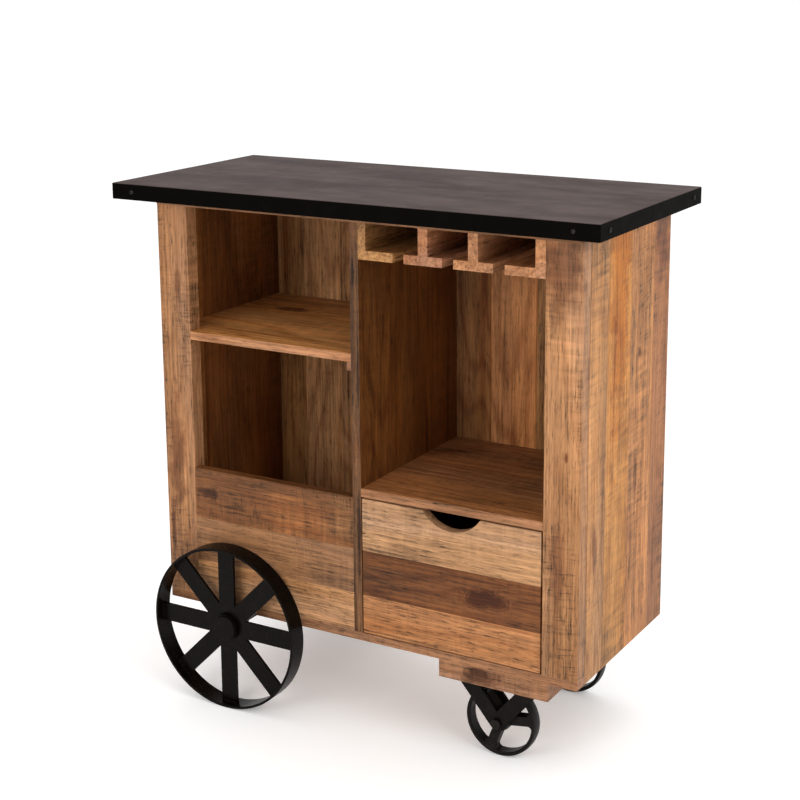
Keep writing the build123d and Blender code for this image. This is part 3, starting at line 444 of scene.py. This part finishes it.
# ---- Metal top
# A board core, hidden inside, is wrapped by a sheet steel cover folded down all round. The sheet
# is finished in black satin lacquer, thin enough to show a faint waviness.
def lacquer(
    name, members, base=(0.0040, 0.0034, 0.0031), rough=0.45, gloss=0.12, wear=0.3, coarse=60.0,
    reflecting_top=None,
):
    """Black satin lacquer over steel: slight waves, dust, and thin places worn to brown. reflecting_top
    is (height, color) for a flat top painted a mottled warm grey, a painted reflection of the bright
    studio in the black lacquer."""
    material = bpy.data.materials.new(name)
    material.use_nodes = True
    tree = material.node_tree
    shader = tree.nodes["Principled BSDF"]
    here = lay(tree, "TexCoord", out=3)
    wave = grained_noise(tree, here, (9.0, 9.0, 9.0), 2.0, 0.5)
    dust = grained_noise(tree, here, (coarse, coarse, coarse), 4.0, 0.65)
    speck = ease(tree, grained_noise(tree, here, (420.0, 420.0, 420.0), 2.0, 0.6), 0.60, 0.74)
    worn = sums(tree, "MULTIPLY", ease(tree, dust, 0.48, 0.72), wear)
    color = tint(tree, worn, base, tuple(value * k for value, k in zip(base, (4.2, 3.6, 3.2))))
    color = tint(tree, sums(tree, "MULTIPLY", speck, 0.12), color, (0.022, 0.019, 0.017))
    # The flat top face is painted a mottled warm grey: a painted reflection of the bright studio in the
    # black lacquer.
    if reflecting_top:
        split = tree.nodes.new("ShaderNodeSeparateXYZ")
        tree.links.new(here, split.inputs[0])
        above = ease(tree, split.outputs["Z"], reflecting_top[0] - 0.0012, reflecting_top[0] - 0.0002)
        reflection_mottle = ease(tree, grained_noise(tree, here, (7.0, 16.0, 16.0), 4.0, 0.6), 0.3, 0.7, 0.78, 1.22)
        reflection_mottle = lay(tree, "CombineXYZ", reflection_mottle, reflection_mottle, reflection_mottle)
        painted_reflection = lay(tree, "VectorMath", reflecting_top[1], reflection_mottle, operation="MULTIPLY")
        color = tint(tree, above, color, painted_reflection)
    tree.links.new(color, shader.inputs["Base Color"])
    polish = sums(tree, "MULTIPLY_ADD", sums(tree, "SUBTRACT", dust, 0.5), 0.28, rough)
    polish = sums(tree, "MULTIPLY_ADD", sums(tree, "SUBTRACT", wave, 0.5), 0.16, polish)
    tree.links.new(polish, shader.inputs["Roughness"])
    relief = tree.nodes.new("ShaderNodeBump")
    relief.inputs["Strength"].default_value = 0.3
    relief.inputs["Distance"].default_value = 0.0006
    bumps = sums(tree, "MULTIPLY_ADD", speck, 0.25, sums(tree, "MULTIPLY", dust, 0.6))
    tree.links.new(bumps, relief.inputs["Height"])
    tree.links.new(relief.outputs[0], shader.inputs["Normal"])
    shader.inputs["Specular IOR Level"].default_value = gloss
    for member in members:
        for material_slot in cart[member].material_slots:
            material_slot.material = material


top_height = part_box("top_cover")[1][2]
# The warm grey on the top face is a painted reflection of the studio.
lacquer(
    "top_lacquer", ["top_cover"], (0.0020, 0.0017, 0.0013), rough=0.5, gloss=0.012, wear=0.15,
    coarse=35.0, reflecting_top=(top_height, (0.094, 0.070, 0.066)),
)
wood("core_board", ["top_core"], "x", (0.36, 0.24, 0.14), rings=5.0, figure=0.15, curl=0.0, seed=55.0)

# ---- Casters
# Two fixed cast iron casters stand under the block. Each has a three-spoke wheel on a bronze
# bush, held between two flat steel straps bent to a V and bolted through.
caster_metal = [
    f"caster_{end}_{piece}" for end in ("front", "back") for piece in ("strap_inner", "strap_outer")
]
lacquer("caster_lacquer", caster_metal + ["caster_plates"], (0.0042, 0.0032, 0.0026), gloss=0.08)
lacquer(
    "cast_iron_lacquer", ["caster_front_wheel", "caster_back_wheel"], (0.0048, 0.0037, 0.0030),
    rough=0.4, gloss=0.10, wear=0.45, coarse=90.0,
)

# ---- Large wheels
# Each large wheel is a flat steel hoop with eight flat bar spokes welded to a turned hub. Hoop,
# spokes and hub carry the same black satin lacquer.
for end in ("front", "back"):
    lacquer(
        f"big_wheel_{end}_lacquer",
        [f"big_wheel_{end}_{piece}" for piece in ("hoop", "hub", "cap", "spokes")],
        (0.0028, 0.0019, 0.0014), rough=0.28, gloss=0.065, wear=0.3, coarse=70.0,
    )

# ---- Axle and hangers
# A round steel axle runs under the cabinet through two bent hangers screwed to its bottom. Collars
# keep it in place, and a nut and washer hold each wheel.
lacquer("axle_lacquer", ["big_axle", "axle_collars", "axle_hangers"], (0.006, 0.005, 0.0045), wear=0.5)


def bare_metal(name, members, color, rough, wear=(0.5, 0.45, 0.4)):
    """Bare metal with fine scratches and dull patches, also for screws made later by a tree."""
    material = bpy.data.materials.new(name)
    material.use_nodes = True
    tree = material.node_tree
    shader = tree.nodes["Principled BSDF"]
    here = lay(tree, "TexCoord", out=3)
    dull = grained_noise(tree, here, (240.0, 240.0, 240.0), 3.0, 0.6)
    scratch = grained_noise(tree, here, (60.0, 2400.0, 900.0), 2.0, 0.5)
    dulled = tuple(bright * share for bright, share in zip(color, wear))
    color = tint(tree, ease(tree, dull, 0.45, 0.75), color, dulled)
    tree.links.new(color, shader.inputs["Base Color"])
    shader.inputs["Metallic"].default_value = 1.0
    tree.links.new(sums(tree, "MULTIPLY_ADD", dull, 0.3, rough - 0.1), shader.inputs["Roughness"])
    relief = tree.nodes.new("ShaderNodeBump")
    relief.inputs["Strength"].default_value = 0.2
    relief.inputs["Distance"].default_value = 0.0002
    tree.links.new(scratch, relief.inputs["Height"])
    tree.links.new(relief.outputs[0], shader.inputs["Normal"])
    for member in members:
        for material_slot in cart[member].material_slots:
            material_slot.material = material
    return material


bare_metal(
    "bolt_steel", ["caster_bolts_and_nuts", "axle_nuts_and_washers"], (0.022, 0.020, 0.018), 0.45
)
bare_metal("bush_bronze", ["caster_front_bush", "caster_back_bush"], (0.55, 0.35, 0.14), 0.4)


# ---- Screws
# Pan head screws with a cross recess hold the metal cover to its core, the carcass to the top, and
# the hangers and caster plates to the wood. Heads on the rim are blackened, the others bright.
def solids_of(node):
    """The lowest and highest corner of each separate solid in a CAD node."""
    shape = bmesh.new()
    shape.from_mesh(cart[node].data)
    bmesh.ops.remove_doubles(shape, verts=shape.verts, dist=1e-6)
    left = set(shape.verts)
    found = []
    while left:
        group, front = set(), [left.pop()]
        while front:
            corner = front.pop()
            group.add(corner)
            for edge in corner.link_edges:
                other = edge.other_vert(corner)
                if other in left:
                    left.remove(other)
                    front.append(other)
        spots = [corner.co for corner in group]
        found.append(
            tuple(Vector(pick(co[axis] for co in spots) for axis in range(3)) for pick in (min, max))
        )
    shape.free()
    return sorted(found, key=lambda pair: tuple(pair[0]))


def node_in(tree, kind, *links, out=0, **settings):
    """Adds a geometry node, and feeds the named inputs given as (name, link or value)."""
    node = tree.nodes.new(kind)
    for key, value in settings.items():
        setattr(node, key, value)
    for name, value in links:
        if isinstance(value, bpy.types.NodeSocket):
            tree.links.new(value, node.inputs[name])
        else:
            node.inputs[name].default_value = value
    return node.outputs[out]


def tree_with(name, inputs):
    """A geometry node tree with named inputs and one mesh output."""
    tree = bpy.data.node_groups.new(name, "GeometryNodeTree")
    tree.interface.new_socket("Geometry", in_out="INPUT", socket_type="NodeSocketGeometry")
    for label, kind, value in inputs:
        made = tree.interface.new_socket(label, in_out="INPUT", socket_type=kind)
        if value is not None:
            made.default_value = value
    tree.interface.new_socket("Geometry", in_out="OUTPUT", socket_type="NodeSocketGeometry")
    return tree, tree.nodes.new("NodeGroupInput").outputs, tree.nodes.new("NodeGroupOutput")


screws, screw_in, screw_out = tree_with(
    "pan head screws",
    (
        ("Head Radius", "NodeSocketFloat", 0.0038), ("Head Height", "NodeSocketFloat", 0.0024),
        ("Shank Radius", "NodeSocketFloat", 0.0018), ("Shank Length", "NodeSocketFloat", 0.016),
        ("Finish", "NodeSocketMaterial", None),
    ),
)
ball = node_in(screws, "GeometryNodeMeshUVSphere", ("Segments", 32), ("Rings", 16), ("Radius", 1.0))
corner_place = node_in(screws, "GeometryNodeInputPosition")
parted = screws.nodes.new("ShaderNodeSeparateXYZ")
screws.links.new(corner_place, parted.inputs[0])
dome_z = lay(screws, "Math", parted.outputs["Z"], 0.0, operation="MAXIMUM")
dome_z = lay(screws, "Math", dome_z, 0.8, operation="POWER")
dome_place = lay(
    screws, "CombineXYZ",
    lay(screws, "Math", parted.outputs["X"], screw_in["Head Radius"], operation="MULTIPLY"),
    lay(screws, "Math", parted.outputs["Y"], screw_in["Head Radius"], operation="MULTIPLY"),
    lay(screws, "Math", dome_z, screw_in["Head Height"], operation="MULTIPLY"),
)
dome = node_in(screws, "GeometryNodeSetPosition", ("Geometry", ball), ("Position", dome_place))
arm = lay(screws, "Math", screw_in["Head Radius"], 1.15, operation="MULTIPLY")
slit = lay(screws, "Math", screw_in["Head Radius"], 0.26, operation="MULTIPLY")
tall = lay(screws, "Math", screw_in["Head Height"], 1.2, operation="MULTIPLY")
lift = lay(screws, "CombineXYZ", 0.0, 0.0, screw_in["Head Height"])
recess = []
for sizes in ((arm, slit, tall), (slit, arm, tall)):
    blade = node_in(screws, "GeometryNodeMeshCube", ("Size", lay(screws, "CombineXYZ", *sizes)))
    recess.append(node_in(screws, "GeometryNodeTransform", ("Geometry", blade), ("Translation", lift)))
cut_first = node_in(
    screws, "GeometryNodeMeshBoolean", ("Mesh 1", dome), ("Mesh 2", recess[0]),
    operation="DIFFERENCE", solver="EXACT",
)
cut_both = node_in(
    screws, "GeometryNodeMeshBoolean", ("Mesh 1", cut_first), ("Mesh 2", recess[1]),
    operation="DIFFERENCE", solver="EXACT",
)
shank = node_in(
    screws, "GeometryNodeMeshCylinder", ("Vertices", 20), ("Radius", screw_in["Shank Radius"]),
    ("Depth", screw_in["Shank Length"]),
)
drop = lay(screws, "Math", screw_in["Shank Length"], -0.5, operation="MULTIPLY")
shank = node_in(
    screws, "GeometryNodeTransform", ("Geometry", shank),
    ("Translation", lay(screws, "CombineXYZ", 0.0, 0.0, drop)),
)
whole = screws.nodes.new("GeometryNodeJoinGeometry")
screws.links.new(shank, whole.inputs[0])
screws.links.new(cut_both, whole.inputs[0])
outward = node_in(
    screws, "GeometryNodeInputNamedAttribute", ("Name", "outward"), data_type="FLOAT_VECTOR"
)
facing_out = node_in(
    screws, "FunctionNodeAlignRotationToVector", ("Vector", outward), axis="Z"
)
driven = node_in(
    screws, "GeometryNodeInstanceOnPoints", ("Points", screw_in["Geometry"]),
    ("Instance", whole.outputs[0]), ("Rotation", facing_out),
)
driven = node_in(screws, "GeometryNodeRealizeInstances", ("Geometry", driven))
driven = node_in(
    screws, "GeometryNodeSetMaterial", ("Geometry", driven), ("Material", screw_in["Finish"])
)
screws.links.new(driven, screw_out.inputs[0])


def settled(name, start, tree, values, body):
    """Runs a tree once on a start mesh, keeps the plain mesh, and lets it ride on its body."""
    seedling = bpy.data.objects.new(name + "_start", start)
    bpy.context.scene.collection.objects.link(seedling)
    maker = seedling.modifiers.new(name, "NODES")
    maker.node_group = tree
    for item in tree.interface.items_tree:
        if item.in_out == "INPUT" and item.name in values:
            maker[item.identifier] = values[item.name]
    bpy.context.view_layer.update()
    ready = seedling.evaluated_get(bpy.context.evaluated_depsgraph_get())
    piece = bpy.data.objects.new(name, bpy.data.meshes.new_from_object(ready))
    bpy.data.objects.remove(seedling)
    bpy.context.scene.collection.objects.link(piece)
    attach(piece, body)
    return piece


top_low, top_high = (Vector(corner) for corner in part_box("top_cover"))
top_middle = (top_low + top_high) / 2
head_height, shank_radius = 0.0024, 0.0018
black_screw, bright_screw = ((0.035, 0.032, 0.030), 0.4), ((0.5, 0.49, 0.47), 0.32)
for node, (color, rough) in (
    ("rim_screws", black_screw), ("top_screws", bright_screw), ("hanger_screws", bright_screw),
    ("caster_plate_screws", bright_screw),
):
    seats = bpy.data.meshes.new(node + "_seats")
    places, ways = [], []
    for low, high in solids_of(node):
        size = high - low
        axis = max(range(3), key=lambda n: size[n])
        way = Vector((0.0, 0.0, 0.0))
        middle = (low + high) / 2
        way[axis] = -1.0 if axis == 2 or middle[axis] < top_middle[axis] else 1.0
        end = middle.copy()
        end[axis] = high[axis] if way[axis] > 0 else low[axis]
        places.append(end - way * head_height)
        ways.append(way)
        head_radius = max(size[n] for n in range(3) if n != axis) / 2
        shank_length = size[axis] - head_height
    seats.from_pydata(places, [], [])
    pointing = seats.attributes.new("outward", "FLOAT_VECTOR", "POINT")
    pointing.data.foreach_set("vector", [value for way in ways for value in way])
    driven_screws = settled(
        node + "_driven", seats, screws,
        {
            "Head Radius": head_radius, "Head Height": head_height, "Shank Radius": shank_radius,
            "Shank Length": shank_length, "Finish": bare_metal(node + "_steel", [], color, rough),
        },
        "cabinet",
    )
    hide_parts(node)

# ---- Welds of the large wheels
# Every spoke end is welded inside the hoop with a short bead on each face. The beads are small and
# uneven, and the lacquer covers them.
welds, weld_in, weld_out = tree_with(
    "weld beads",
    (
        ("Spokes", "NodeSocketInt", 8), ("Beads", "NodeSocketInt", 12),
        ("Hoop Radius", "NodeSocketFloat", 0.141), ("Seam Width", "NodeSocketFloat", 0.032),
        ("Bead Radius", "NodeSocketFloat", 0.0017), ("Centre", "NodeSocketVector", None),
        ("Outer Face", "NodeSocketFloat", 0.0), ("Inner Face", "NodeSocketFloat", 0.0),
        ("Finish", "NodeSocketMaterial", None),
    ),
)
step = lay(
    welds, "Math", weld_in["Seam Width"],
    lay(welds, "Math", weld_in["Beads"], 1.0, operation="SUBTRACT"), operation="DIVIDE",
)
seam_start = lay(welds, "Math", weld_in["Seam Width"], -0.5, operation="MULTIPLY")
seam = node_in(
    welds, "GeometryNodeMeshLine", ("Count", weld_in["Beads"]),
    ("Start Location", lay(welds, "CombineXYZ", seam_start, 0.0, 0.0)),
    ("Offset", lay(welds, "CombineXYZ", step, 0.0, 0.0)),
)
seam_parts = welds.nodes.new("ShaderNodeSeparateXYZ")
welds.links.new(node_in(welds, "GeometryNodeInputPosition"), seam_parts.inputs[0])
across = seam_parts.outputs["X"]
reach = weld_in["Hoop Radius"]
arc = lay(
    welds, "Math", lay(welds, "Math", reach, reach, operation="MULTIPLY"),
    lay(welds, "Math", across, across, operation="MULTIPLY"), operation="SUBTRACT",
)
bead_sink = 0.0004
arc = lay(welds, "Math", lay(welds, "Math", arc, operation="SQRT"), bead_sink, operation="SUBTRACT")
seam = node_in(
    welds, "GeometryNodeSetPosition", ("Geometry", seam),
    ("Position", lay(welds, "CombineXYZ", across, 0.0, arc)),
)
both_faces = welds.nodes.new("GeometryNodeJoinGeometry")
for label in ("Inner Face", "Outer Face"):
    shifted = node_in(
        welds, "GeometryNodeTransform", ("Geometry", seam),
        ("Translation", lay(welds, "CombineXYZ", 0.0, weld_in[label], 0.0)),
    )
    welds.links.new(shifted, both_faces.inputs[0])
hub_points = node_in(welds, "GeometryNodeMeshLine", ("Count", weld_in["Spokes"]), ("Offset", (0, 0, 0)))
turn_share = lay(welds, "Math", 2.0 * math.pi, weld_in["Spokes"], operation="DIVIDE")
spoke_turn = node_in(welds, "GeometryNodeInputIndex")
spoke_turn = lay(welds, "Math", spoke_turn, turn_share, operation="MULTIPLY")
rows = node_in(
    welds, "GeometryNodeInstanceOnPoints", ("Points", hub_points), ("Instance", both_faces.outputs[0]),
    ("Rotation", lay(welds, "CombineXYZ", 0.0, spoke_turn, 0.0)),
)
rows = node_in(welds, "GeometryNodeRealizeInstances", ("Geometry", rows))
drop_of_weld = node_in(
    welds, "GeometryNodeMeshIcoSphere", ("Radius", weld_in["Bead Radius"]), ("Subdivisions", 2)
)
uneven = node_in(
    welds, "FunctionNodeRandomValue", ("Min", (0.8, 0.75, 0.8)), ("Max", (1.25, 1.1, 1.25)),
    ("Seed", 5), data_type="FLOAT_VECTOR",
)
beads = node_in(
    welds, "GeometryNodeInstanceOnPoints", ("Points", rows), ("Instance", drop_of_weld),
    ("Scale", uneven),
)
beads = node_in(welds, "GeometryNodeRealizeInstances", ("Geometry", beads))
beads = node_in(
    welds, "GeometryNodeTransform", ("Geometry", beads), ("Translation", weld_in["Centre"])
)
beads = node_in(welds, "GeometryNodeSetShadeSmooth", ("Geometry", beads))
beads = node_in(
    welds, "GeometryNodeSetMaterial", ("Geometry", beads), ("Material", weld_in["Finish"])
)
welds.links.new(beads, weld_out.inputs[0])
hoop_wall, weld_run = 0.0045, 0.030
for end in ("front", "back"):
    hoop_low, hoop_high = (Vector(corner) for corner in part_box(f"big_wheel_{end}_hoop"))
    spoke_low, spoke_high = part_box(f"big_wheel_{end}_spokes")
    centre = (hoop_low + hoop_high) / 2
    settled(
        f"big_wheel_{end}_welds", bpy.data.meshes.new("weld_start"), welds,
        {
            "Hoop Radius": (hoop_high.x - hoop_low.x) / 2 - hoop_wall, "Seam Width": weld_run,
            "Centre": (centre.x, 0.0, centre.z), "Outer Face": spoke_low[1], "Inner Face": spoke_high[1],
            "Finish": bpy.data.materials[f"big_wheel_{end}_lacquer"],
        },
        f"big_wheel_{end}",
    )

# ---- Camera
# A short telephoto stands at chest height, in front of the cart and to its right. A small rise of
# the lens keeps the cart in the middle of the frame with its uprights nearly parallel.
camera_data = bpy.data.cameras.new("camera")
camera = bpy.data.objects.new("camera", camera_data)
bpy.context.scene.collection.objects.link(camera)
yaw, pitch, roll = math.radians(30.399), math.radians(12.371), math.radians(-0.445)
ahead = Vector((-math.sin(yaw) * math.cos(pitch), math.cos(yaw) * math.cos(pitch), -math.sin(pitch)))
level_right = Vector((math.cos(yaw), math.sin(yaw), 0.0))
level_up = level_right.cross(ahead)
camera_right = level_right * math.cos(roll) + level_up * math.sin(roll)
camera_up = level_up * math.cos(roll) - level_right * math.sin(roll)
turn = Matrix((camera_right, camera_up, -ahead)).transposed().to_4x4()
camera.matrix_world = Matrix.Translation((1.3635, -2.3495, 1.3112)) @ turn
camera_data.sensor_width = 36.0
camera_data.lens = 74.19
camera_data.shift_y = -0.125
camera_data.clip_end = 50.0
bpy.context.scene.camera = camera

# ---- Studio
# The cart stands on a plain pale floor in a white studio. A broad softbox to the right and above
# gives the shape, a weaker one on the left fills, and the room behind the camera is darker.
bpy.context.scene.view_settings.view_transform = "Standard"
studio = bpy.data.worlds.new("studio")
studio.use_nodes = True
bpy.context.scene.world = studio
sky = studio.node_tree
sky.nodes.clear()
direction = sky.nodes.new("ShaderNodeTexCoord").outputs["Generated"]
facing = sky.nodes.new("ShaderNodeSeparateXYZ")
sky.links.new(direction, facing.inputs[0])
behind = ease(sky, facing.outputs["Y"], -0.75, 0.15, 0.22, 0.80)
above = ease(sky, facing.outputs["Z"], 0.25, 0.9, 0.0, 0.45)
strength = sums(sky, "ADD", behind, above)
room = sky.nodes.new("ShaderNodeBackground")
room.inputs["Color"].default_value = (1.0, 1.0, 1.0, 1.0)
sky.links.new(strength, room.inputs["Strength"])
backdrop = sky.nodes.new("ShaderNodeBackground")
backdrop.inputs["Color"].default_value = (1.0, 1.0, 1.0, 1.0)
seen = sky.nodes.new("ShaderNodeMixShader")
sky.links.new(sky.nodes.new("ShaderNodeLightPath").outputs["Is Camera Ray"], seen.inputs[0])
sky.links.new(room.outputs[0], seen.inputs[1])
sky.links.new(backdrop.outputs[0], seen.inputs[2])
sky.links.new(seen.outputs[0], sky.nodes.new("ShaderNodeOutputWorld").inputs["Surface"])


def softbox(name, place, aim, size, power):
    lamp = bpy.data.lights.new(name, "AREA")
    lamp.shape = "RECTANGLE"
    lamp.size, lamp.size_y = size
    lamp.energy = power
    lamp.color = (1.0, 0.985, 0.965)
    box = bpy.data.objects.new(name, lamp)
    bpy.context.scene.collection.objects.link(box)
    look = (Vector(aim) - Vector(place)).to_track_quat("-Z", "Y")
    box.matrix_world = Matrix.Translation(place) @ look.to_matrix().to_4x4()


softbox("key_softbox", (2.6, -1.2, 1.9), (0.1, 0.0, 0.5), (1.6, 1.8), 30.0)
softbox("fill_softbox", (-0.3, -3.1, 1.5), (0.0, 0.0, 0.55), (2.2, 1.6), 46.0)

floor_shape = bpy.data.meshes.new("studio_floor")
floor_shape.from_pydata([(-30, -30, 0), (30, -30, 0), (30, 30, 0), (-30, 30, 0)], [], [(0, 1, 2, 3)])
studio_floor = bpy.data.objects.new("studio_floor", floor_shape)
bpy.context.scene.collection.objects.link(studio_floor)
paint = bpy.data.materials.new("floor_paint")
paint.use_nodes = True
pale = paint.node_tree
floor_here = lay(pale, "TexCoord", out=3)
mottle = lay(pale, "TexNoise", floor_here, None, 3.0, 3.0, 0.5)
pale.links.new(
    tint(pale, mottle, (0.93, 0.93, 0.925), (0.97, 0.97, 0.965)),
    pale.nodes["Principled BSDF"].inputs["Base Color"],
)
pale.nodes["Principled BSDF"].inputs["Roughness"].default_value = 0.7
pale.nodes["Principled BSDF"].inputs["Emission Color"].default_value = (1.0, 1.0, 1.0, 1.0)
pale.nodes["Principled BSDF"].inputs["Emission Strength"].default_value = 0.2
floor_shape.materials.append(paint)
